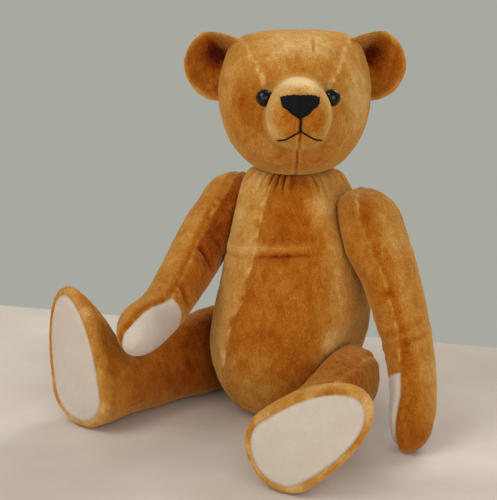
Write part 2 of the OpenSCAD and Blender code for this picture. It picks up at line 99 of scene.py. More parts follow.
def leg_place(side):
    return side_flip(side) @ shift(HIP[side]) @ rot("z", LEG_TURN[side]) @ rot("y", LEG_LEAN[side])


def leg_pose(side):
    return leg_place(side) @ rot("x", -90 - LEG_RISE[side])


def head_pose():
    return (shift((0, 0, NECK_Z)) @ rot("z", HEAD_TURN) @ shift((0, 0, HEAD_H / 2))
            @ rot("x", -HEAD_TILT))


def apply(m, p):
    return p @ m[:3, :3].T + m[:3, 3]


def unapply(m, p):
    """Outer points in a frame's own coordinates."""
    return apply(np.linalg.inv(m), p)


def unit(v):
    return v / np.maximum(np.linalg.norm(v, axis=1, keepdims=True), 1e-12)


def mesh_size(full):
    return [int(n * FINE) for n in full]


def ring(n):
    """Angles once round, in the direction that makes the limbs' faces point outwards."""
    return -np.linspace(0, 2 * np.pi, n, endpoint=False)


def spline(rows, t):
    """A smooth curve through the rows, at row positions t."""
    rows = np.asarray(rows, float)
    n = len(rows) - 1
    i = np.clip(np.floor(t).astype(int), 0, n - 1)
    f = (t - i)[..., None]
    p0, p1 = rows[np.maximum(i - 1, 0)], rows[i]
    p2, p3 = rows[i + 1], rows[np.minimum(i + 2, n)]
    return 0.5 * (2 * p1 + (p2 - p0) * f + (2 * p0 - 5 * p1 + 4 * p2 - p3) * f**2
                  + (3 * p1 - p0 - 3 * p2 + p3) * f**3)


def spow(v, e):
    """A power that keeps the sign: under 1 it squares a circle off."""
    return np.sign(v) * np.abs(v) ** e


def smin(a, b, k):
    """Smooth minimum of two distances, rounded over k."""
    h = np.clip(0.5 + 0.5 * (b - a) / k, 0, 1)
    return b + (a - b) * h - k * h * (1 - h)


def smax(a, b, k):
    """Smooth maximum of two distances, rounded over k."""
    return -smin(-a, -b, k)


def step(x, lo, hi):
    """0 below lo, 1 above hi, smooth between."""
    t = np.clip((x - lo) / (hi - lo), 0, 1)
    return t * t * (3 - 2 * t)


def bell(x, w):
    """1 at 0, fading away over w."""
    return np.exp(-((x / w) ** 2))


def lattice(ix, iy, iz, seed):
    """A fixed number from 0 to 1 for each whole point."""
    h = (ix * 374761393 + iy * 668265263 + iz * 2147483647 + seed * 974634777) & 0xFFFFFFFF
    h = ((h ^ (h >> 13)) * 1274126177) & 0xFFFFFFFF
    return ((h ^ (h >> 16)) & 0xFFFF) / 65535.0


def noise(p, size, seed=0):
    """Smooth value noise from -1 to 1 at points p, with lumps of that size."""
    q = np.asarray(p, float) / size + 1000.0
    i = np.floor(q).astype(np.int64)
    f = q - i
    f = f * f * (3 - 2 * f)
    out = 0.0
    for corner in np.ndindex(2, 2, 2):
        w = np.where(corner, f, 1 - f)
        w = w[..., 0] * w[..., 1] * w[..., 2]
        out = out + w * lattice(*np.moveaxis(i + corner, -1, 0), seed)
    return 2 * out - 1


def fbm(p, size, seed=0, octaves=3):
    """Noise with finer and finer lumps added."""
    total, amp, norm = 0.0, 1.0, 0.0
    for o in range(octaves):
        total = total + amp * noise(p, size / 2**o, seed + 17 * o)
        norm += amp
        amp *= 0.5
    return total / norm


# ---- surfaces
NORMAL, OUTWARD = ("nx", "ny", "nz"), ("ox", "oy", "oz")  # values that build() takes for itself


class Skin:
    """A closed grid: rows of points round a form, with one point at each end.

    Rows run along the form and columns round it."""

    def __init__(self, grid, smooth=0):
        self.nu, self.nv = grid.shape[:2]
        for _ in range(smooth):
            grid = self.relax(grid)
        self.grid = grid

    @staticmethod
    def relax(g):
        """Each point half way to the mean of its neighbours."""
        up = np.concatenate([g[:1], g[:-1]])
        down = np.concatenate([g[1:], g[-1:]])
        around = (np.roll(g, 1, 1) + np.roll(g, -1, 1)) / 2
        out = g + 0.5 * ((up + down + 2 * around) / 4 - g)
        out[0], out[-1] = g[0], g[-1]
        return out

    def flat(self):
        """Every point in one list, with the two ends' middles last."""
        g = self.grid
        ends = np.stack([g[0].mean(0), g[-1].mean(0)])
        return np.concatenate([g.reshape(-1, 3), ends])

    def triangles(self):
        nu, nv = self.nu, self.nv
        i, k = np.meshgrid(np.arange(nu - 1), np.arange(nv), indexing="ij")
        a = i * nv + k
        b = i * nv + (k + 1) % nv
        quads = np.stack([a, b, b + nv, a + nv], -1).reshape(-1, 4)
        tris = np.concatenate([quads[:, [0, 1, 2]], quads[:, [0, 2, 3]]])
        r = np.arange(nv)
        first = np.stack([np.full(nv, nu * nv), (r + 1) % nv, r], -1)
        base = (nu - 1) * nv
        last = np.stack([np.full(nv, nu * nv + 1), base + r, base + (r + 1) % nv], -1)
        return np.concatenate([tris, first, last])

    def normals(self):
        p, t = self.flat(), self.triangles()
        n = np.cross(p[t[:, 1]] - p[t[:, 0]], p[t[:, 2]] - p[t[:, 0]])
        out = np.zeros_like(p)
        for c in range(3):
            for k in range(3):
                out[:, k] += np.bincount(t[:, c], n[:, k], len(p))
        return unit(out)

    def push(self, amount):
        """Moves the surface out by amount (rows x columns) along its normals."""
        self.outward = self.normals()  # before any flattening against a joint or the floor
        n = self.outward[: self.nu * self.nv].reshape(self.nu, self.nv, 3)
        self.grid = self.grid + n * amount[..., None]

    def per_point(self, v):
        """Values in the order of flat()."""
        v = np.asarray(v, float)
        return np.concatenate([v.reshape(-1), [v[0].mean(), v[-1].mean()]])

    def carried(self, tone):
        """What goes with each point when the cloth is cut into panels."""
        return {"tone": self.per_point(tone), **dict(zip(NORMAL, self.normals().T)),
                **dict(zip(OUTWARD, self.outward.T))}


def clip(points, tris, field, values):
    """The part of a mesh where field is positive, cut exactly along its zero line."""
    inside = field > 0
    count = inside[tris].sum(1)
    kept = [tris[count == 3]]
    new_pts, new_vals, table = [], {k: [] for k in values}, {}
    base = len(points)

    def cut(a, b):
        out = np.empty(len(a), int)
        for n, (i, j) in enumerate(zip(a.tolist(), b.tolist())):
            key = (i, j) if i < j else (j, i)
            if key not in table:
                t = field[i] / (field[i] - field[j])
                table[key] = base + len(new_pts)
                new_pts.append(points[i] + t * (points[j] - points[i]))
                for k, v in values.items():
                    new_vals[k].append(v[i] + t * (v[j] - v[i]))
            out[n] = table[key]
        return out

    for want in (1, 2):
        part = tris[count == want]
        odd = inside[part] if want == 1 else ~inside[part]
        lead = odd.argmax(1)
        rows = np.arange(len(part))
        a = part[rows, lead]
        b = part[rows, (lead + 1) % 3]
        c = part[rows, (lead + 2) % 3]
        ab, ac = cut(a, b), cut(a, c)
        if want == 1:
            kept.append(np.stack([a, ab, ac], -1))
        else:
            kept.append(np.stack([ab, b, c], -1))
            kept.append(np.stack([ab, c, ac], -1))
    if new_pts:
        points = np.concatenate([points, np.array(new_pts)])
        values = {k: np.concatenate([v, np.array(new_vals[k])]) for k, v in values.items()}
    return points, np.concatenate(kept), values


def turned_in(pts, tri, vals, outward, depth):
    """Adds a strip that turns the open edges inwards, like a seam allowance."""
    edges = np.concatenate([tri[:, [0, 1]], tri[:, [1, 2]], tri[:, [2, 0]]])
    _, where, n = np.unique(np.sort(edges, 1), axis=0, return_index=True, return_counts=True)
    a, b = edges[where[n == 1]].T
    ids = np.unique(np.concatenate([a, b]))
    top = np.full(len(pts), -1)
    top[ids] = len(pts) + np.arange(len(ids))
    low = top + len(ids)
    pts = np.concatenate([pts, pts[ids], pts[ids] - outward[ids] * depth])
    vals = {k: np.concatenate([v, v[ids], v[ids]]) for k, v in vals.items()}
    tri = np.concatenate([tri, np.stack([top[b], top[a], low[a]], -1),
                          np.stack([top[b], low[a], low[b]], -1)])
    return pts, tri, vals


def build(name, points, tris, values, material, matrix, body, slot, replaced,
          turn_in=0.0, fill=None):
    """A Blender piece from points in a local frame (mm)."""
    used, inverse = np.unique(tris, return_inverse=True)
    pts, tri = points[used], inverse.reshape(-1, 3)
    vals = {k: v[used] for k, v in values.items()}
    facing, outward = (np.stack([vals.pop(k) for k in keys], -1) if keys[0] in vals else None
                       for keys in (NORMAL, OUTWARD))
    if turn_in:
        pts, tri, vals = turned_in(pts, tri, vals, outward, turn_in)
    pts = apply(matrix, pts)
    if facing is not None:  # the turned-in edge keeps its own normals
        facing = unit(facing @ matrix[:3, :3].T)
        facing = np.concatenate([facing, np.zeros((len(pts) - len(facing), 3))])
    if np.linalg.det(matrix[:3, :3]) < 0:  # a mirrored frame
        tri = tri[:, ::-1]
    mesh = bpy.data.meshes.new(name)
    mesh.vertices.add(len(pts))
    mesh.vertices.foreach_set("co", (pts * MM).astype(np.float32).ravel())
    mesh.loops.add(len(tri) * 3)
    mesh.loops.foreach_set("vertex_index", tri.astype(np.int32).ravel())
    mesh.polygons.add(len(tri))
    mesh.polygons.foreach_set("loop_start", np.arange(0, len(tri) * 3, 3, dtype=np.int32))
    mesh.update(calc_edges=True)
    mesh.polygons.foreach_set("use_smooth", np.ones(len(tri), bool))
    if facing is not None:
        mesh.normals_split_custom_set_from_vertices(facing.tolist())
    for k, v in vals.items():
        layer = mesh.attributes.new(k, "FLOAT", "POINT")
        layer.data.foreach_set("value", v.astype(np.float32))
    mesh.materials.append(material)
    o = bpy.data.objects.new(name, mesh)
    bpy.context.scene.collection.objects.link(o)
    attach(o, body)
    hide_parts(*replaced)


def cut_panels(skin, tone, matrix, body, panels, fill, turn_in=2.0):
    """Panels of one skin: name, field (positive inside), what else it replaces, felt's tone."""
    pts, tris, values = skin.flat(), skin.triangles(), skin.carried(tone)
    for name, field, more, felt_tone in panels:
        felt = felt_tone is not None
        cut = clip(pts, tris, field, {**values, "tone": felt_tone} if felt else values)
        build(name + "_cloth", *cut, FELT if felt else PLUSH, matrix, body,
              "felt" if felt else "plush", (name, *more), turn_in, fill)


def tube(path, radius, sides=8):
    """Points and triangles of a round thread along a path."""
    path = np.asarray(path, float)
    along = unit(np.gradient(path, axis=0))
    side = unit(np.cross(along, [0, 0, 1.0] if abs(along[:, 2]).mean() < 0.8 else [1.0, 0, 0]))
    up = np.cross(along, side)
    a = -ring(sides)[None, :, None]
    skin = Skin(path[:, None] + radius * (np.cos(a) * side[:, None] + np.sin(a) * up[:, None]))
    return skin.flat(), skin.triangles()


def join(parts):
    """Several meshes as one."""
    pts, tris, n = [], [], 0
    for p, t in parts:
        pts.append(p)
        tris.append(t + n)
        n += len(p)
    return np.concatenate(pts), np.concatenate(tris)


# ---- materials
def linear(*srgb):
    """A colour of 0 to 255 as Blender's linear one."""
    return [*(((c / 255 + 0.055) / 1.055) ** 2.4 if c > 10 else c / 255 / 12.92 for c in srgb), 1]


class Nodes:
    """Short ways to wire a material."""

    def __init__(self, name, **sockets):
        self.mat = bpy.data.materials.new(name)
        self.mat.use_nodes = True
        self.tree = self.mat.node_tree
        self.shader = self.tree.nodes["Principled BSDF"]
        self.place = self.add("ShaderNodeTexCoord").outputs["Object"]
        for key, value in sockets.items():
            self.shader.inputs[key.replace("_", " ")].default_value = value

    def add(self, kind, **props):
        node = self.tree.nodes.new(kind)
        for key, value in props.items():
            setattr(node, key, value)
        return node

    def wire(self, a, b):
        self.tree.links.new(a, b)

    def attribute(self, name):
        return self.add("ShaderNodeAttribute", attribute_name=name).outputs["Fac"]

    def noise(self, scale, detail=2.0, rough=0.5, stretch=(1, 1, 1), twist=0.0):
        m = self.add("ShaderNodeMapping")
        m.inputs["Scale"].default_value = stretch
        self.wire(self.place, m.inputs["Vector"])
        n = self.add("ShaderNodeTexNoise")
        self.wire(m.outputs[0], n.inputs["Vector"])
        for key, value in (("Scale", scale), ("Detail", detail), ("Roughness", rough),
                           ("Distortion", twist)):
            n.inputs[key].default_value = value
        return n.outputs["Fac"]

    def math(self, op, a, b=0.0, c=0.0, clamp=False):
        n = self.add("ShaderNodeMath", operation=op, use_clamp=clamp)
        for socket, value in zip(n.inputs, (a, b, c)):
            if isinstance(value, (int, float)):
                socket.default_value = value
            else:
                self.wire(value, socket)
        return n.outputs[0]

    def spread(self, noise, amount):
        """A noise turned into plus or minus about amount."""
        return self.math("MULTIPLY_ADD", noise, 2 * amount, -amount)

    def ramp(self, value, stops):
        n = self.add("ShaderNodeValToRGB")
        band = n.color_ramp
        while len(band.elements) < len(stops):
            band.elements.new(0.5)
        for e, (at, colour) in zip(band.elements, stops):
            e.position, e.color = at, colour
        self.wire(value, n.inputs["Fac"])
        return n.outputs["Color"]

    def colour(self, socket):
        self.wire(socket, self.shader.inputs["Base Color"])

    def bump(self, height, distance, strength):
        """Ends the wiring, so it hands back the material."""
        n = self.add("ShaderNodeBump")
        n.inputs["Distance"].default_value = distance
        n.inputs["Strength"].default_value = strength
        self.wire(height, n.inputs["Height"])
        self.wire(n.outputs[0], self.shader.inputs["Normal"])
        return self.mat


# the pile's colour by tone, deep amber to pale straw
PILE = [(0.0, linear(76, 16, 1)), (0.2, linear(134, 60, 3)), (0.4, linear(160, 92, 17)),
        (0.6, linear(180, 127, 56)), (0.8, linear(203, 164, 106)), (1.0, linear(230, 203, 156))]


def plush_material(name, comb):
    """Short velvet pile: tone is where the nap leans, with painted shade and painted sheen laid
    into it, and the finer play of it is here.
    """
    m = Nodes(name, Roughness=0.95, Sheen_Weight=0.75, Sheen_Roughness=0.34,
              Sheen_Tint=linear(250, 196, 116), Specular_IOR_Level=0.1)
    tone = m.attribute("tone")
    brushed = m.noise(62, 4, 0.62, comb, 0.8)
    patches = m.noise(210, 4, 0.7, comb, 0.4)
    tufts = m.noise(1000, 3, 0.75)
    t = m.math("ADD", tone, m.spread(brushed, 0.15))
    t = m.math("ADD", t, m.spread(patches, 0.20))
    t = m.math("ADD", t, m.spread(tufts, 0.34), clamp=True)
    m.colour(m.ramp(t, PILE))
    h = m.math("ADD", m.math("MULTIPLY", tufts, 0.6), m.math("MULTIPLY", patches, 0.9))
    return m.bump(h, 0.0016, 0.7)


def felt_material():
    m = Nodes("felt", Roughness=0.95, Sheen_Weight=0.25, Sheen_Roughness=0.5,
              Specular_IOR_Level=0.15)
    tone = m.attribute("tone")
    fibres = m.noise(480, 5, 0.8, (1, 1, 1), 3.0)
    clouds = m.noise(60, 3)
    t = m.math("ADD", tone, m.spread(fibres, 0.42))
    t = m.math("ADD", t, m.spread(clouds, 0.12), clamp=True)
    m.colour(m.ramp(t, [(0.0, linear(138, 112, 88)), (0.35, linear(176, 161, 146)),
                        (0.7, linear(197, 184, 171)), (1.0, linear(216, 205, 193))]))
    return m.bump(m.math("ADD", fibres, m.math("MULTIPLY", m.noise(260, 3), 0.8)), 0.0006, 0.5)


def grain_material(name, grain, low, high, bump, rough_range=None, **sockets):
    """One noise gives both the colour, from low to high, and the relief."""
    m = Nodes(name, **sockets)
    h = m.noise(*grain)
    m.colour(m.ramp(h, [(at, linear(*colour)) for at, colour in (low, high)]))
    if rough_range:
        stops = [(at, (value, value, value, 1)) for at, value in rough_range]
        m.wire(m.ramp(h, stops), m.shader.inputs["Roughness"])
    return m.bump(h, *bump)


def eye_material():
    m = Nodes("eye_glass", Roughness=0.06, Specular_IOR_Level=0.28)
    deep = m.noise(160, 2)
    m.colour(m.ramp(deep, [(0.3, linear(3, 2, 3)), (0.8, linear(12, 8, 7))]))
    return m.bump(m.noise(90, 1), 0.0001, 0.1)


STRAND = (2600, 2, 0.6, (1, 1, 0.25))
PLUSH = plush_material("plush", (1, 1, 0.55))
FELT = felt_material()
BLACK = grain_material("thread_black", STRAND, (0.3, (1, 1, 2)), (0.75, (7, 6, 8)), (0.0003, 0.5),
                       Roughness=0.75, Specular_IOR_Level=0.2)
GOLD = grain_material("thread_gold", STRAND, (0.3, (150, 96, 36)), (0.75, (202, 150, 84)),
                      (0.0003, 0.5), Roughness=0.6, Specular_IOR_Level=0.2)
WADDING = grain_material("wadding", (140, 5, 0.7), (0.3, (206, 202, 194)), (0.7, (240, 238, 232)),
                         (0.003, 0.8), Roughness=1.0, Sheen_Weight=0.3)
HARDBOARD = grain_material("hardboard", (700, 5, 0.7), (0.3, (104, 70, 42)),
                           (0.7, (142, 102, 66)), (0.0003, 0.5), Roughness=0.7)
STEEL = grain_material("steel", (900, 3, 0.5, (1, 1, 0.05)), (0.3, (150, 152, 156)),
                       (0.7, (206, 208, 210)), (0.0001, 0.3), ((0.2, 0.22), (0.8, 0.42)),
                       Metallic=1.0)
GLASS = eye_material()
# the frame's own nodes, such as the joints' metal, get a material by their slot's name
FOR_SLOT = {"wadding": WADDING, "hardboard": HARDBOARD, "steel": STEEL, "plush": PLUSH,
            "felt": FELT, "thread": GOLD, "eye_glass": GLASS}
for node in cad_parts.values():
    for s in node.material_slots:
        if s.material:
            s.material = FOR_SLOT.get(s.material.name.split(".")[0], s.material)


# ---- the pieces' common steps
def even_rows(rows, n):
    """Row positions that lie evenly along the outline drawn by the first two columns."""
    t = np.linspace(0, len(rows) - 1, 1200)
    r = spline(rows, t)[:, :2]
    d = np.concatenate([[0], np.cumsum(np.linalg.norm(np.diff(r, axis=0), axis=1))])
    return np.interp(np.linspace(0, d[-1], n), d, t)


def blobs(p, spots):
    """Sum of soft round patches: x, y, z, radius, amount."""
    out = np.zeros(p.shape[:-1])
    for x, y, z, r, a in spots:
        out += a * np.exp(-((p - (x, y, z)) ** 2).sum(-1) / r**2)
    return out


def seam_marks(d, p, seed, width=1.0):
    """From a signed distance to a seam: how far the cloth moves, and how the pile parts there."""
    wob = noise(p, 5, seed)
    groove = -0.75 * bell(d, 1.3 * width) * (1 + 0.45 * wob)
    swell = 0.40 * bell(np.abs(d) - 4.5, 3.2) * (1 + 0.6 * noise(p, 9, seed + 1))
    pucker = -0.40 * bell(d, 6) * step(noise(p, 3.4, seed + 2), -0.3, 0.9)
    dabs = np.clip(0.75 + 0.9 * noise(p, 3.2, seed + 3) + 0.5 * noise(p, 9, seed + 4), 0.1, 1.5)
    parted = bell(d + 0.9 * wob, 1.6 * width) * dabs
    return groove + swell + pucker, np.clip(parted, 0, 1.2)


def nap(p, seed):
    """The pile's own unevenness, for the outlines."""
    return 0.16 * noise(p, 2.3, 300 + seed) + 0.14 * noise(p, 4.6, 320 + seed)


def limb_stops(m, p, rounding):
    """Keeps a limb's cloth beyond its joint's plane (x = 0 in its frame) and off the floor."""
    p[..., 0] = smax(p[..., 0], GAP, 3.0)
    q = apply(m, p)
    q[..., 2] = smax(q[..., 2], FLOOR_GAP, rounding)
    return unapply(m, q)


# ---- body
def body_surface():
    """Rows: height, half width, reach in front, reach behind."""
    rows = [[-5, 0.33, 0.33, 0.35], [2, 0.60, 0.68, 0.66], [14, 0.80, 0.87, 0.86],
            [32, 0.94, 0.98, 0.98], [52, 1, 1, 1], [74, 0.99, 0.93, 0.96],
            [98, 0.95, 0.77, 0.90], [124, 0.88, 0.62, 0.81], [148, 0.81, 0.50, 0.74],
            [164, 0.74, 0.43, 0.66], [175, 0.62, 0.36, 0.54], [184, 0.40, 0.27, 0.34]]
    rows = np.array(rows) * (NECK_Z / 181, BELLY_W / 2, BELLY_F, BELLY_B)
    nu, nv = mesh_size(BODY_MESH)
    r = spline(rows, even_rows(rows, nu))
    a = np.linspace(0, 2 * np.pi, nv, endpoint=False)
    n = 1 - 0.14 * np.clip((r[:, 0:1] - 95) / 35, 0, 1)  # squarer at the shoulders
    s, c = spow(np.sin(a), n), spow(np.cos(a), n)
    x = r[:, 1:2] * c
    y = s * np.where(s > 0, r[:, 3:4], r[:, 2:3])
    z = np.repeat(r[:, 0:1], nv, 1)
    return Skin(np.stack([x, y, z], -1))


def front_seam(p):
    """Signed distance to the seam down the body's middle, which wanders a little in front."""
    turn = math.radians(BODY_TURN)
    d = p[..., 0] * math.cos(turn) - p[..., 1] * math.sin(turn)
    heights = [0, 20, 45, 70, 93, 127, 142, 163, 185]
    offsets = [-9, -9, -4.5, -1, 2.4, 1.6, -0.4, 0.8, 1]
    at = np.interp(p[..., 2], heights, offsets) * step(-p[..., 1], 5, 30)
    return d - at + 0.5 * noise(p, 12, 5) + 0.25 * noise(p, 4, 6)


def body_planes(p):
    """Smoothly keeps the body's cloth on its own side of the joints and on the seat."""
    for side in (LEFT, RIGHT):
        for m in (arm_place(side), leg_place(side)):
            q = unapply(m, p)
            q[..., 0] = smin(q[..., 0], -GAP, 3.0)
            p = apply(m, q)
    p[..., 2] = smax(p[..., 2], GAP, 4.0)
    p[..., 2] = smin(p[..., 2], NECK_Z - GAP, 2.5)
    return p


def make_body():
    skin = body_surface()
    p = skin.grid
    turn = np.arctan2(p[..., 0], -p[..., 1])  # 0 in front, positive towards the bear's left
    lumps = 0.9 * fbm(p, 34, 11, 2) + 0.35 * fbm(p, 11, 12, 2)
    d = front_seam(p)
    groove, parted = seam_marks(d, p, 21)
    front = step(-p[..., 1], 0, 14)
    across = step(turn, -1.25, -0.9) * step(-turn, -1.05, -0.6)
    # the crease across the chest
    level = p[..., 2] - 127.5 - 6.5 * turn + 0.8 * noise(p, 14, 31)
    crease = across * front
    fold = crease * (-bell(level, 2.4) + 0.8 * bell(level - 6, 4.5) + 0.5 * bell(level + 7, 6))
    up = step(p[..., 2], 166, 182) ** 1.5  # the pleats gathered at the neck
    line = np.stack([30 * turn, 0 * turn, 0 * turn], -1)
    wave = 22 * turn + 5.0 * noise(line, 14, 41)
    deep = np.clip(0.8 + 0.9 * noise(line, 11, 42), 0.15, 1.6)
    pleats = up * (1.3 * np.cos(wave) - 0.5) * deep
    skin.push(lumps + groove + fold + pleats + nap(p, 1))
    p = skin.grid = body_planes(skin.grid)
    tone = 0.35 + 0.10 * fbm(p, 30, 51, 3) + 0.05 * fbm(p, 7, 52, 2)
    # the bear's right panel is paler: partly its nap, which leans another way, and partly painted
    # sheen
    right = step(-d + 2.5 * noise(p, 5, 54), -2.0, 4.5)
    tone += right * (0.25 + 0.08 * fbm(p, 16, 53, 2))
    # painted sheen: paler on the left flank and round to the back
    tone += 0.24 * step(turn, 0.75, 1.25) * (1 - right)
    tone += 0.20 * parted * front + 0.14 * parted * (1 - front)
    # painted light on the upper lip of the chest fold, painted shade in the crease under it
    edge = 0.20 * bell(level - 4.5, 3.2) - 0.22 * bell(level + 1.2, 1.6)
    tone += crease * edge * (1 - 0.5 * right)
    # painted shade in the valleys of the pleats gathered at the neck
    tone -= up * 0.20 * step(-np.cos(wave), 0.2, 1.0) * deep
    tone += blobs(p, [(54, -32, 66, 9, 0.22), (10, -62, 34, 24, 0.09), (30, -45, 25, 22, 0.08),
                      (0, -60, 30, 26, 0.08), (12, -40, 138, 20, -0.04), (40, -22, 165, 12, 0.2),
                      (6, -60, 78, 26, -0.03)])
    field = skin.per_point(d)
    cut_panels(skin, tone, np.eye(4), "torso",
               (("body_left_panel", field, ("body_stuffing",), None),
                ("body_right_panel", -field, (), None)), fill=0.85)
    return skin


# ---- arms
def arm_surface(bulk):
    """Rows: forwards, height, half width, half thickness, the middle's distance from the joint."""
    rows = [[0, 25, 0.22, 0.24, 0.55], [0, 20, 0.62, 0.62, 0.62], [0, 6, 0.95, 0.90, 0.88],
            [0, -14, 1, 1, 0.90], [-1, -40, 0.98, 0.98, 0.98], [-2, -68, 0.90, 0.92, 1.00],
            [-6, -94, 0.80, 0.86, 1.00], [-15, -117, 0.75, 0.82, 0.98],
            [-27, -136, 0.70, 0.76, 0.92], [-35, -147, 0.52, 0.57, 0.86],
            [-40, -153, 0.20, 0.22, 0.80]]
    rows = np.array(rows) * (1, 1, ARM_W / 2, ARM_T / 2, ARM_T / 2)
    rows[5:, 1] *= ARM_L / 158
    nu, nv = mesh_size(ARM_MESH)
    at = even_rows(rows, nu)
    r = spline(rows, at)
    along = (spline(rows, np.minimum(at + 0.2, len(rows) - 1))
             - spline(rows, np.maximum(at - 0.2, 0)))[:, :2]
    along /= np.linalg.norm(along, axis=1, keepdims=True)
    a = ring(nv)
    flat = 1 - 0.5 * np.clip((r[:, 1:2] + 45) / 25, 0, 1)
    n = np.where(np.sin(a) < 0, flat, 1)
    slim = 1 - (1 - bulk) * np.sin(np.pi * np.clip((20 - r[:, 1:2]) / 150, 0, 1)) ** 2
    q = r[:, 2:3] * slim * spow(np.cos(a), n)
    x = r[:, 4:5] + r[:, 3:4] * spow(np.sin(a), n)
    return Skin(np.stack([x, r[:, 0:1] + q * along[:, 1:2], r[:, 1:2] - q * along[:, 0:1]], -1))


# height and distance from the joint of the seam along each arm's front; behind, it runs straight
ARM_SEAM = ([[-175, 6], [-162, 9], [-148, 14], [-128, 20], [-110, 22], [-82, 26], [-45, 27.5],
             [-10, 23], [25, 20]],
            [[-175, 26], [-163, 24], [-152, 19.5], [-140, 18], [-113, 11], [-73, 15], [-40, 16.5],
             [-10, 14], [25, 16]])
ARM_SEAM_BACK = 21


def arm_seam(p, side):
    """Signed distance to the arm's seam, positive on the outer side."""
    front = np.interp(p[..., 2], *np.array(ARM_SEAM[side]).T)
    mix = step(-p[..., 1], -12, 6)
    at = ARM_SEAM_BACK + (front - ARM_SEAM_BACK) * mix
    return p[..., 0] - at + 0.4 * noise(p, 10, 61 + side)


# creases across each arm's front: height, slope, depth, width
ARM_CREASES = ([(-84, 0.1, 0.6, 2.4), (-90, -0.1, 0.5, 2.2), (-96, 0.15, 0.4, 2.2),
                (-62, 0.2, 0.3, 2.6)],
               [(-61, 0.5, 2.2, 2.8), (-69, 0.3, 1.1, 2.4), (-95, 0.9, 3.0, 3.0),
                (-104, 0.7, 1.3, 2.2), (-46, 0.3, 0.7, 2.4)])


def paw_edge(p):
    """Positive where the paw pad is: its upper edge slants across the inner side."""
    c, s = math.cos(math.radians(-22)), math.sin(math.radians(-22))
    y, z = p[..., 1] + 8, p[..., 2] + ARM_L * 0.70
    return -(-s * y + c * z) + 0.4 * noise(p, 8, 66)


def make_arm(side):
    key = ("left", "right")[side]
    m = arm_pose(side)
    skin = arm_surface((0.97, 0.88)[side])
    p = skin.grid
    z, y, x = p[..., 2], p[..., 1], p[..., 0]
    d = arm_seam(p, side)
    groove, parted = seam_marks(d, p, 70 + side)
    paw = paw_edge(p)
    pad_rim = np.maximum(-paw, d)
    lumps = 0.8 * fbm(p, 30, 81 + side, 2) + 0.3 * fbm(p, 9, 83, 2)
    inner = step(-d, -3, 6)
    wrinkle, crease_shade = np.zeros_like(z), np.zeros_like(z)
    near = step(-y, -2, 14) * (inner if side == RIGHT else 1)
    for at, slope, depth, width in ARM_CREASES[side]:
        q = z - at - slope * (x - 15) + 1.6 * noise(p, 18, -at)
        swell = 0.5 * bell(np.abs(q) - 2 * width, 1.3 * width)
        wrinkle += near * depth * (swell - bell(q, width))
        crease_shade += near * depth * bell(q, width)
    if side == RIGHT:  # a fuller paw, with a dip at the wrist above it
        lumps = lumps + blobs(p, [(30, -26, -142, 17, 3.6), (36, -12, -112, 13, -1.6)])
    skin.push(lumps + groove + wrinkle - 0.5 * bell(pad_rim, 1.6) * step(paw, -3, 0)
              + nap(p, 2) * step(-paw, -2, 0))
    q = skin.grid = limb_stops(m, skin.grid, 2.0)
    tone = 0.30 + 0.10 * fbm(q, 26, 91 + side, 3) + 0.05 * fbm(q, 7, 92, 2)
    tone += 0.20 * parted
    # painted shade in the creases across the arm's front
    tone -= 0.10 * crease_shade
    if side == LEFT:
        # painted light on the outer side of the left arm
        tone += 0.26 * step(q[..., 0], 28, 38)
        tone += 0.14 * blobs(q, [(20, -20, -20, 16, 1), (22, -10, 22, 16, 1.4)])
        tone += 0.12 * inner * step(-q[..., 1], -5, 15)
    else:
        # paler outer panel; painted shade high on the inner side, where it faces the body
        tone += 0.20 * step(d, 1, 7) - 0.10 * inner * step(q[..., 2], -70, -50)
        tone += 0.22 * inner * step(-q[..., 2], 92, 104)
    outer, pad = skin.per_point(d), skin.per_point(paw)
    pad_field = np.minimum(-outer, pad)
    felt = 0.62 - 0.35 * bell(pad_field, 1.2) + 0.06 * fbm(skin.flat(), 12, 95, 2)
    cut_panels(skin, tone, m, "arm_" + key,
               ((f"arm_{key}_outer_panel", outer, (f"arm_{key}_stuffing",), None),
                (f"arm_{key}_inner_panel", np.minimum(-outer, -pad), (), None),
                (f"arm_{key}_paw_pad", pad_field, (), felt)), fill=0.8)


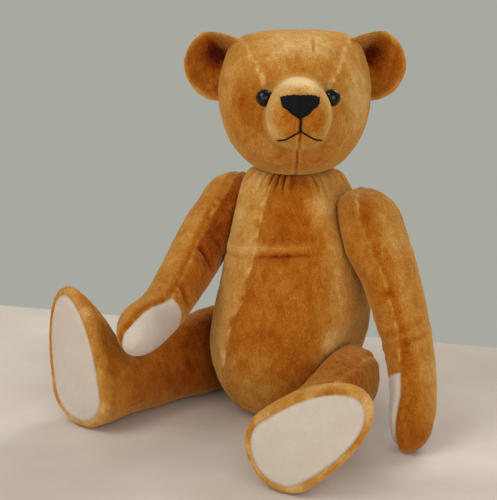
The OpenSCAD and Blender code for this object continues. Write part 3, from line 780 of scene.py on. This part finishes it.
# ---- legs
def leg_surface(side):
    """Rows: height, half width in front, half width behind, half thickness, the middle's distance
    from the joint. In this frame the leg hangs down and the toes point forwards."""
    w, t, l = THIGH_W / 2, LEG_T / 2, LEG_L / 133
    heel, toe, f = HEEL, FOOT_L - HEEL, FOOT_W / 2
    slim = (0.84, 1.0)[side]  # the thigh's upper side, seated
    rows = [[30, 0.24 * w, 0.24 * w, 0.25 * t, 0.55 * t],
            [24, 0.60 * w, 0.66 * w, 0.66 * t, 0.66 * t],
            [6, slim * w, w, 0.96 * t, 0.90 * t], [-24, slim * 0.98 * w, w, t, 0.94 * t],
            [-50 * l, slim * 0.90 * w, 0.97 * w, 0.98 * t, 1.00 * t],
            [-76 * l, 0.80 * w, 0.94 * w, 0.98 * t, 1.08 * t],
            [-96 * l, 0.40 * toe, 0.98 * heel, 1.10 * t, 1.20 * t],
            [-110 * l, 0.72 * toe, heel, 0.92 * f, 1.32 * t],
            [-122 * l, 0.96 * toe, heel, f, 1.42 * t], [-129 * l, toe, 0.98 * heel, f, 1.45 * t],
            [-133 * l, 0.94 * toe, 0.85 * heel, 0.86 * f, 1.46 * t]]
    nu, nv = mesh_size(LEG_MESH)
    r = spline(rows, even_rows(rows, nu))
    a = ring(nv)
    n = np.where(np.cos(a) < 0, 1 - 0.5 * np.clip((r[:, 0:1] + 55) / 30, 0, 1), 1)
    s = spow(np.sin(a), n)
    turn = np.radians(TOE_OUT[side] * np.clip(-r[:, 0:1] / LEG_L, 0, 1))
    u = r[:, 3:4] * spow(np.cos(a), n)
    v = s * np.where(s > 0, r[:, 2:3], r[:, 1:2])
    x = r[:, 4:5] + u * np.cos(turn) - v * np.sin(turn)
    y = u * np.sin(turn) + v * np.cos(turn)
    z = np.repeat(r[:, 0:1], nv, 1)
    g = np.stack([x, y, z], -1)
    # the sole: rings shrinking to the middle, slightly crowned
    mid = g[-1].mean(0)
    k = np.linspace(1, 0.04, int(SOLE_ROWS * FINE) + 1)[1:, None, None]
    rings = mid + (g[-1] - mid) * k
    rings[..., 2] -= 1.6 * (1 - k[..., 0] ** 2)
    return Skin(np.concatenate([g, rings]), smooth=8)


def make_leg(side):
    key = ("left", "right")[side]
    m = leg_pose(side)
    skin = leg_surface(side)
    p = skin.grid
    d = p[..., 0] - LEG_T * 0.55 + 0.5 * noise(p, 12, 101 + side)
    z = p[..., 2]
    # distance from the sole's edge, on the sole towards its middle
    turn = math.radians(TOE_OUT[side])
    c, s = math.cos(turn), math.sin(turn)
    mx, heel, toe, f = 1.46 * LEG_T / 2, HEEL, FOOT_L - HEEL, FOOT_W / 2
    u = (p[..., 0] - mx) * c + p[..., 1] * s
    v = -(p[..., 0] - mx) * s + p[..., 1] * c
    reach = np.where(v > 0, 0.93 * heel, 0.985 * toe)
    rad = np.sqrt((u / (0.93 * f)) ** 2 + (v / reach) ** 2)
    edge = (rad - 1) * np.sqrt(u * u + v * v) / np.maximum(rad, 1e-3)  # positive outside
    on_sole = z < -(LEG_L - 7)
    sole = np.where(on_sole, -edge - 3.5, -10.0)
    sole = np.minimum(sole, (-(z + LEG_L - 6.5)) * 2)
    groove, parted = seam_marks(np.where(z > -(LEG_L - 9), d, 99), p, 105 + side)
    ring_d = np.where(z < -(LEG_L - 12), sole, 99)
    lumps = 0.9 * fbm(p, 32, 111 + side, 2) + 0.35 * fbm(p, 10, 113, 2)
    bend = -1.6 * bell(z + 88 - 0.25 * p[..., 1], 5) * step(-p[..., 1], 5, 25)
    skin.push(lumps * step(z, -LEG_L, -LEG_L + 14) + groove + bend - 0.9 * bell(ring_d, 1.4)
              + 0.9 * bell(ring_d + 3.2, 2.2) + nap(p, 3) * step(-sole, -2, 0))
    q = skin.grid = limb_stops(m, skin.grid, 2.5)
    tone = 0.31 + 0.12 * fbm(q, 28, 121 + side, 3) + 0.06 * fbm(q, 8, 122, 2)
    tone += 0.18 * parted
    tone += (0.14 + 0.14 * noise(q, 9, 127)) * step(-q[..., 2], LEG_L - 12, LEG_L - 4)
    if side == LEFT:
        tone += 0.03 + 0.10 * step(-q[..., 2], 60, 110)
    else:
        # painted shade on the upper leg near the hip, beside the body
        tone -= 0.12 * blobs(q, [(0, 0, -10, 45, 1)])
        tone += 0.10 * step(-q[..., 2], 95, 120)
    outer, pad = skin.per_point(d), skin.per_point(sole)
    felt = 0.6 - 0.4 * bell(pad, 1.3) + 0.06 * fbm(skin.flat(), 12, 125, 2)
    cut_panels(skin, tone, m, "leg_" + key,
               ((f"leg_{key}_outer_panel", np.minimum(outer, -pad), (f"leg_{key}_stuffing",), None),
                (f"leg_{key}_inner_panel", np.minimum(-outer, -pad), (), None),
                (f"leg_{key}_foot_pad", pad, (), felt)), fill=0.8)


# ---- head
HEAD_MID = np.array([0.0, 0.0, -5.0])


def head_rows():
    """Height, half width, reach in front, reach behind."""
    rows = [[-58, 0.28, 0.30, 0.30], [-51, 0.55, 0.58, 0.56], [-39, 0.76, 0.80, 0.75],
            [-22, 0.92, 0.94, 0.90], [-3, 1, 0.98, 0.98], [15, 1, 0.95, 1],
            [31, 0.94, 0.85, 0.95], [43, 0.85, 0.69, 0.80], [51, 0.66, 0.46, 0.56],
            [55, 0.28, 0.16, 0.20]]
    return np.array(rows) * (HEAD_H / 110, HEAD_W / 2, HEAD_D / 2, HEAD_D / 2)


# reach in front, half width, half height, height of the middle
MUZZLE = np.array([[0, 26, 28, -3], [20, 26, 28, -4], [42, 24.5, 27, -5.5], [56, 23.6, 26, -6.2],
                   [67, 22.2, 24.3, -6.3], [74.5, 19.6, 21.6, -6], [79.3, 15.6, 17.5, -5],
                   [82, 9.6, 11.6, -4], [82.8, 3, 4, -3.5]])


def table(rows, column, at):
    """One column of smooth rows, read by the first column."""
    fine = spline(rows, np.linspace(0, len(rows) - 1, 800))
    return np.interp(at, fine[:, 0], fine[:, column])


class Head:
    """The head as one radius for each direction from its middle."""

    def __init__(self):
        self.rows, self.columns = mesh_size(HEAD_MESH)
        th = self.th = np.linspace(0, np.pi, self.rows + 2)[1:-1]
        ph = np.linspace(0, 2 * np.pi, self.columns, endpoint=False)
        s = np.sin(th)[:, None]
        self.dirs = np.stack([s * np.cos(ph), -np.cos(th)[:, None] + 0 * ph, s * np.sin(ph)], -1)
        ball = self.reach(self.in_ball)
        snout = np.where(self.dirs[..., 1] < -0.15, self.reach(self.in_muzzle), 0)
        self.radius = smax(ball, snout, 7.0)
        for _ in range(3):
            r = self.radius
            around = (np.roll(r, 1, 1) + np.roll(r, -1, 1)) / 2
            up = (np.concatenate([r[:1], r[:-1]]) + np.concatenate([r[1:], r[-1:]])) / 2
            self.radius = 0.5 * r + 0.25 * (around + up)

    def reach(self, inside):
        """How far a form goes in each direction."""
        lo, hi = np.zeros(self.dirs.shape[:2]), np.full(self.dirs.shape[:2], 130.0)
        for _ in range(20):
            mid = (lo + hi) / 2
            ok = inside(HEAD_MID + self.dirs * mid[..., None])
            lo, hi = np.where(ok, mid, lo), np.where(ok, hi, mid)
        return lo

    @staticmethod
    def in_ball(p):
        rows = head_rows()
        z = p[..., 2]
        w, front, back = (table(rows, column, z) for column in (1, 2, 3))
        n = 2 / 0.93  # a little squarer than an ellipse
        y = p[..., 1] / np.where(p[..., 1] > 0, back, front)
        flat = (np.abs(p[..., 0]) / w) ** n + np.abs(y) ** n
        return (flat < 1) & (z > rows[0, 0]) & (z < rows[-1, 0])

    @staticmethod
    def in_muzzle(p):
        y = -p[..., 1]
        w, h, mid = (table(MUZZLE, column, y) for column in (1, 2, 3))
        n = 2.25
        w = w * (1 - 0.16 * step(p[..., 2], -6, 20))  # narrower at the bridge
        flat = (np.abs(p[..., 0]) / w) ** n + (np.abs(p[..., 2] - mid) / h) ** n
        return (flat < 1) & (y < MUZZLE[-1, 0])

    def at(self, p):
        """Distance of points beyond the surface, roughly: the radius minus the head's."""
        v = p - HEAD_MID
        r = np.linalg.norm(v, axis=-1)
        th = np.arccos(np.clip(-v[..., 1] / np.maximum(r, 1e-9), -1, 1))
        ph = np.arctan2(v[..., 2], v[..., 0]) % (2 * np.pi)
        i = np.clip((th - self.th[0]) / (self.th[1] - self.th[0]), 0, self.rows - 1.001)
        k = ph / (2 * np.pi) * self.columns
        i0, k0 = i.astype(int), k.astype(int) % self.columns
        k1 = (k0 + 1) % self.columns
        u, v = i - i0, k - k.astype(int)
        g = self.radius
        a = g[i0, k0] * (1 - v) + g[i0, k1] * v
        b = g[i0 + 1, k0] * (1 - v) + g[i0 + 1, k1] * v
        return r - (a * (1 - u) + b * u)

    def face_y(self, x, z, out=0.0):
        """Where a line along -Y at (x, z) leaves the head, plus out."""
        x, z = np.broadcast_arrays(np.asarray(x, float), np.asarray(z, float))
        lo, hi = np.full(x.shape, -20.0), np.full(x.shape, 110.0)
        for _ in range(22):
            mid = (lo + hi) / 2
            ok = self.at(np.stack([x, -mid, z], -1)) < out
            lo, hi = np.where(ok, mid, lo), np.where(ok, hi, mid)
        return -lo

    def grid(self):
        return HEAD_MID + self.dirs * self.radius[..., None]


# the head's centre strip: position from front to back, half width
GUSSET = np.array([[-100, 11], [-70, 12.5], [-57, 16], [-48, 21.5], [-40, 29], [-22, 37.5],
                   [0, 41], [18, 38], [40, 26], [62, 12]])


def gusset_edge(p):
    """Positive inside the head's centre strip."""
    y, z = p[..., 1], p[..., 2]
    at, widths = GUSSET.T
    slope = np.interp(y, (at[1:] + at[:-1]) / 2, np.diff(widths) / np.diff(at))
    side = (np.interp(y, at, widths) - np.abs(p[..., 0])) / np.sqrt(1 + slope**2)
    floor = np.interp(y, [-60, -50, 20, 45, 100], [-5, 0, 0, -46, -46])
    floor = floor + np.where(y < -60, 0.55 * np.abs(p[..., 0]), 0)  # ends under the nose
    return np.minimum(side, (z - floor) * 0.9) + 0.35 * noise(p, 9, 131)


def make_head():
    shape = Head()
    m = head_pose()
    skin = Skin(shape.grid()[:, ::-1])  # turned round, so that its faces point outwards
    p = skin.grid
    x, y, z = p[..., 0], p[..., 1], p[..., 2]
    g = gusset_edge(p)
    groove, parted = seam_marks(g, p, 141, 0.8)
    shown = 1 - step(-y, 50, 57)  # the seams of the muzzle lie hidden in the nap
    groove, parted = 0.55 * groove * shown, parted * shown
    chin = np.where((z < -4) & (y < 30), np.abs(x + 0.3 * noise(p, 9, 142)), 99)
    nape = np.where((y >= 30) & (z < -20), np.abs(x), 99)
    middle = np.minimum(chin, nape)
    # eye sockets, brow and cheeks
    form = blobs(p, [(25, -49, 5, 8, -1.8), (-25, -49, 5, 8, -1.8),
                     (22, -44, 20, 15, 1.3), (-22, -44, 20, 15, 1.3), (0, -45, 26, 16, -0.8),
                     (40, -32, -18, 20, 1.6), (-40, -32, -18, 20, 1.2), (0, -40, 38, 14, 0.8)])
    lumps = 0.8 * fbm(p, 30, 151, 2) + 0.25 * fbm(p, 9, 152, 2)
    nick = (bell(x - 11.5 - 0.5 * noise(p, 6, 7), 1.0) * step(z, 34, 38) * step(-z, -48, -42)
            * step(-y, 15, 25))  # a short crease high on the forehead
    chin_groove = -0.7 * bell(middle, 1.0) * step(-z, 6, 12)
    nose = (step(-y, 60, 66) * step(13.5 - np.abs(x), 0, 2) * step(8.5 - z, 0, 2)
            * step(z + 10 - 0.62 * np.abs(x), 0, 2))  # smooth and low under the nose's stitches
    skin.push((lumps + nap(p, 4)) * (1 - nose) - 0.3 * nose
              + form + groove + chin_groove - 0.9 * nick)
    q = apply(m, skin.grid)
    q[..., 2] = smax(q[..., 2], NECK_Z + GAP, 2.5)
    p = skin.grid = unapply(m, q)
    tone = 0.50 + 0.12 * fbm(p, 24, 161, 3) + 0.07 * fbm(p, 7, 162, 2)
    tone += 0.20 * parted
    tone += (0.10 * bell(middle - 2.0, 1.3) - 0.30 * bell(middle, 0.8)) * step(-z, 10, 16)
    # the first patch, pale on the forehead's top, is painted sheen; the others make paler and
    # deeper patches
    tone += blobs(p, [(0, -35, 46, 30, 0.30), (0, -48, 28, 15, -0.17), (-26, -42, 20, 13, -0.12),
                      (24, -44, 22, 12, -0.10), (-38, -40, -2, 13, -0.22),
                      (-28, -48, -14, 11, -0.16), (36, -44, -2, 12, -0.03), (44, -30, 5, 20, 0.22),
                      (44, -25, -22, 16, 0.12), (0, -70, 16, 14, 0.34), (0, -60, 20, 11, 0.16),
                      (-20, -62, -22, 9, 0.08), (20, -62, -22, 9, 0.08), (0, -30, -45, 26, -0.03)])
    rim = np.sqrt((x / 25) ** 2 + ((z + 6) / 26) ** 2)
    snout = step(-y, 50, 66)
    # painted sheen round the muzzle's sides and top
    tone += snout * 0.24 * step(rim + 0.05 * noise(p, 9, 163), 0.55, 1.0) * step(z, -34, -14)
    tone -= step(-y, 66, 74) * 0.13 * step(-z, 0, 8) * step(-rim, -0.80, -0.40)
    # painted shade in the short crease on the forehead
    tone -= 0.25 * nick
    strip, left = skin.per_point(g), skin.per_point(x)
    cut_panels(skin, tone, m, "head",
               (("head_gusset", strip, ("head_stuffing",), None),
                ("head_left_panel", np.minimum(-strip, left), (), None),
                ("head_right_panel", np.minimum(-strip, -left), (), None)), fill=0.9)
    return shape


# ---- ears
EAR_R, EAR_CUP, EAR_SKIN = 27.5, 12.0, 5.0
EAR_POS = (57.2, 8.0, 25.0)


def ear_pose(way):
    flip = np.diag([float(way), 1, 1, 1])
    return head_pose() @ flip @ shift(EAR_POS) @ rot("y", 38) @ rot("z", -14)


def make_ear(way, head):
    key = "left" if way > 0 else "right"
    nu, nv = mesh_size(EAR_MESH)
    # u: 0 in the hollow's middle, 1 at the rim, 2 in the middle of the back
    u = np.linspace(0.02, 1.98, nu)[:, None]
    ang = ring(nv)[None]
    inner = u <= 1
    s = np.where(inner, u, 2 - u)
    rad = (EAR_R - 0.6) * (s + 0 * ang)
    ball = (EAR_R**2 + EAR_CUP**2) / (2 * EAR_CUP)
    x, z = rad * np.cos(ang), rad * np.sin(ang)
    sheet = EAR_SKIN / 2 - (ball - np.sqrt(ball**2 - rad**2))
    mid = np.stack([x, sheet, z], -1)
    # the upper inner edge folds forwards over the hollow, towards the head's corner
    flap = step(0.17 * z - 0.98 * x, 9, 25) * step(z, -14, -2)
    lower = blobs(mid * (1, 0, 1), [(1, 0, -12, 11, 1.0)])
    hollow = blobs(mid * (1, 0, 1), [(-6, 0, 9, 9.5, 1.0), (-15, 0, 0, 7, 0.6)])
    half = 2.9 * np.sqrt(1 - np.clip((s - 0.80) / 0.20, 0, 1) ** 2)  # half the ear's thickness
    x, z = x + 4 * flap, z - 6.5 * flap
    y = sheet - 19 * flap + np.where(inner, -half - 3.0 * lower + 2.6 * hollow * (1 - flap),
                                     half + 0.8 * hollow)
    skin = Skin(np.stack([x, y, z], -1), smooth=2)
    p = skin.grid
    root = p - (-20, 0, 3)
    far = np.hypot(root[..., 0], root[..., 2])
    bearing = np.degrees(np.arctan2(root[..., 2], root[..., 0]))
    front = np.where(inner, 1.0, 0.0)
    pleats = np.zeros_like(far)
    for at, depth in ((22, 1.1), (-4, 1.0), (-32, 0.8)):  # fanning out from the ear's root
        pleats += (depth * bell(bearing - at + 5 * noise(p, 12, at + 90), 9) * bell(far - 15, 9)
                   * step(far, 5, 11))
    lumps = 0.5 * fbm(p, 14, 171 + way, 2) + 0.25 * fbm(p, 5, 172, 2)
    skin.push(lumps - pleats * front + nap(p, 5))
    p = skin.grid
    tone = 0.34 + 0.11 * fbm(p, 16, 181 + way, 3) + 0.06 * fbm(p, 5, 182, 2)
    tone += 0.24 * bell(u - 1, 0.13) + 0.12 * (1 - front)
    # painted shade in the hollow under the flap and in the valleys of the pleats
    tone += front * (0.14 * flap + 0.04 * lower - 0.05 * pleats - 0.34 * hollow * (1 - 0.8 * flap))
    m = ear_pose(way)
    # cut where the ear is sewn to the head, just inside the head's cloth
    outside = head.at(unapply(head_pose(), apply(m, skin.flat()))) + 1.2
    seam = skin.per_point((1.06 - u) * 30 + 0 * ang)
    cut_panels(skin, tone, m, "head",
               ((f"ear_{key}_front", np.minimum(seam, outside), (), None),
                (f"ear_{key}_back", np.minimum(-seam, outside), (), None)), fill=0.4, turn_in=1.2)


# ---- face
EYE_R, EYE_POS, EYE_TURN = 6.2, (23.8, -52.8, 4.2), 22


def make_eye(way):
    nu, nv = EYE_MESH
    th, ph = np.linspace(0, np.pi, nu + 2)[1:-1][:, None], ring(nv)[None]
    r = EYE_R * (1 - 0.012 * bell(th - 1.25, 0.05))  # with a fine line round its rim
    x, z = r * np.sin(th) * np.cos(ph), r * np.sin(th) * np.sin(ph)
    skin = Skin(np.stack([x, -r * 0.94 * np.cos(th) + 0 * ph, z], -1))
    m = head_pose() @ shift(np.multiply(EYE_POS, (way, 1, 1))) @ rot("z", way * EYE_TURN)
    name = "eye_left" if way > 0 else "eye_right"
    build(name + "_ball", skin.flat(), skin.triangles(), {}, GLASS, m, "head", "eye_glass", (name,))


NOSE_HALF, NOSE_THREADS = 13.3, 25


def make_nose(head):
    """Upright satin stitches over a pad that closes the gaps between them."""
    rng = np.random.default_rng(7)
    parts = []
    for i in range(NOSE_THREADS):
        x = NOSE_HALF * (2 * i / (NOSE_THREADS - 1) - 1)
        k = abs(x) / NOSE_HALF
        top = 7.2 - 1.6 * k**4 + rng.uniform(-0.35, 0.35)
        low = -8.6 + 8.8 * k**1.15 - 0.5 * (1 - k) + rng.uniform(-0.25, 0.25)
        if k > 0.93:
            low += 0.6
        down = np.linspace(0, 1, 22)
        z = top + (low - top) * down
        xs = x + 0.2 * np.sin(3 * down + i) - 0.9 * np.sign(x) * k * down
        ends = 2 * down - 1
        y = head.face_y(xs, z, 0.7) + 4 * np.clip(np.abs(ends) - 0.8, 0, 1)
        crown = 0.8 * (1 - k**2) * (1 - ends**2)
        parts.append(tube(np.stack([xs, y - crown, z], -1), 0.72))
    rows, columns = 26, 40
    down, x = np.linspace(0, 1, rows)[:, None], np.linspace(-1, 1, columns)[None]
    k = np.abs(x)
    top, low = 6.6 - 1.6 * k**4, -7.8 + 8.8 * k**1.15
    z = top + (low - top) * down
    x = 13.0 * x + 0 * down
    crown = 0.7 * (1 - k**2) * (1 - (2 * down - 1) ** 2)
    pad = np.stack([x, head.face_y(x, z, 0.6) - crown, z], -1)
    i, k = np.meshgrid(np.arange(rows - 1), np.arange(columns - 1), indexing="ij")
    a = (i * columns + k).ravel()
    b = a + columns
    pad_tris = np.concatenate([np.stack([a, b + 1, a + 1], -1), np.stack([a, b, b + 1], -1)])
    parts.append((pad.reshape(-1, 3), pad_tris))
    build("nose_stitches", *join(parts), {}, BLACK, head_pose(), "head", "thread", ("nose",))


def make_mouth(head):
    """One thread down from the nose, and one to each side."""
    parts = []
    z = np.linspace(-6.5, -17.8, 18)
    x = 0.35 + 0.25 * np.sin(z)
    parts.append(tube(np.stack([x, head.face_y(x, z, 0.35), z], -1), 0.68))
    for way in (-1, 1):
        t = np.linspace(0, 1, 30)
        x = 0.3 + way * 15.6 * t
        z = -17.4 - 9.2 * t ** 0.9 + 1.5 * step(t, 0.6, 1) * t
        y = head.face_y(x, z, 0.35) + 1.2 * step(t, 0.93, 1)
        parts.append(tube(np.stack([x, y, z], -1), 0.62))
    build("mouth_thread", *join(parts), {}, BLACK, head_pose(), "head", "thread", ("mouth",))


def make_back_stitches(body):
    """Nine stitches that close the back seam."""
    rng = np.random.default_rng(3)
    p = body.grid[body.grid[..., 1] > 20]
    parts = []
    for z in range(66, 138, 8):
        xs = np.linspace(-3, 3, 13)
        near = [p[np.argmin((p[:, 0] - x) ** 2 + (p[:, 2] - z) ** 2), 1] for x in xs]
        y = np.convolve(np.pad(near, 1, "edge"), [0.25, 0.5, 0.25], "valid")
        y = y + 0.35 - 1.4 * (np.abs(xs) / 3) ** 6
        parts.append(tube(np.stack([xs, y, z + rng.uniform(-0.5, 0.5) + 0.25 * xs], -1), 0.45))
    build("back_stitches_thread", *join(parts), {}, GOLD, np.eye(4), "torso", "thread",
          ("back_closing_stitches",))


body_skin = make_body()
for which in (LEFT, RIGHT):
    make_arm(which)
    make_leg(which)
head_shape = make_head()
for direction in (-1, 1):
    make_ear(direction, head_shape)
    make_eye(direction)
make_nose(head_shape)
make_mouth(head_shape)
make_back_stitches(body_skin)


# ---- floor, light and camera
# name, place, what it looks at, size, power, colour
LIGHTS = (("key", (-0.55, -1.2, 1.5), (0, 0, 0.15), 1.1, 15, (1.0, 0.98, 0.95)),
          ("fill", (1.6, -0.9, 0.6), (0, 0, 0.15), 1.4, 15, (1.0, 0.96, 0.91)),
          ("low", (0.2, -1.9, 0.35), (0, 0, 0.1), 1.6, 12, (1.0, 0.97, 0.93)),
          ("rim", (0.1, 1.3, 1.2), (0, 0, 0.2), 1.0, 14, (0.97, 0.98, 1.0)))
# the camera: angles as in the photo, distance, and what it looks at
AZIMUTH, ELEVATION, DISTANCE, TARGET = 35, 17, 1.2, (-0.018, -0.034, 0.1265)
SENSOR, FRAME_PX, FOCAL_PX = 36, 500, 1600


def make_stage():
    scene = bpy.context.scene
    mesh = bpy.data.meshes.new("floor")
    # the far edge runs where a table's edge would, behind the bear
    corners = [(-1.6, -2.6, 0), (2.9, -2.6, 0), (2.9, 1.257, 0), (-1.6, -0.442, 0)]
    mesh.from_pydata(corners, [], [(0, 1, 2, 3)])
    m = Nodes("floor_paint", Roughness=0.8, Specular_IOR_Level=0.2)
    pale = [(0.35, linear(196, 183, 173)), (0.7, linear(212, 201, 192))]
    m.colour(m.ramp(m.noise(9, 4), pale))
    mesh.materials.append(m.bump(m.noise(300, 3), 0.0003, 0.3))
    floor = bpy.data.objects.new("floor", mesh)
    scene.collection.objects.link(floor)
    world = bpy.data.worlds.new("studio")
    scene.world = world
    world.use_nodes = True
    backdrop = world.node_tree.nodes["Background"]
    backdrop.inputs["Color"].default_value = linear(168, 170, 161)
    backdrop.inputs["Strength"].default_value = 1.0
    for name, place, target, size, power, colour in LIGHTS:
        data = bpy.data.lights.new(name, "AREA")
        data.shape, data.size, data.energy, data.color = "SQUARE", size, power, colour
        o = bpy.data.objects.new(name, data)
        o.location = place
        o.rotation_euler = (Vector(target) - Vector(place)).to_track_quat("-Z", "Y").to_euler()
        scene.collection.objects.link(o)
    scene.view_settings.view_transform = "Standard"


def make_camera():
    az, el = math.radians(AZIMUTH), math.radians(ELEVATION)
    away = Vector((math.sin(az) * math.cos(el), -math.cos(az) * math.cos(el), math.sin(el)))
    data = bpy.data.cameras.new("camera")
    data.sensor_width = SENSOR
    data.lens = SENSOR * FOCAL_PX / FRAME_PX
    data.clip_start, data.clip_end = 0.05, 20
    o = bpy.data.objects.new("camera", data)
    o.location = Vector(TARGET) + away * DISTANCE
    o.rotation_euler = (-away).to_track_quat("-Z", "Y").to_euler()
    bpy.context.scene.collection.objects.link(o)
    bpy.context.scene.camera = o


make_stage()
make_camera()
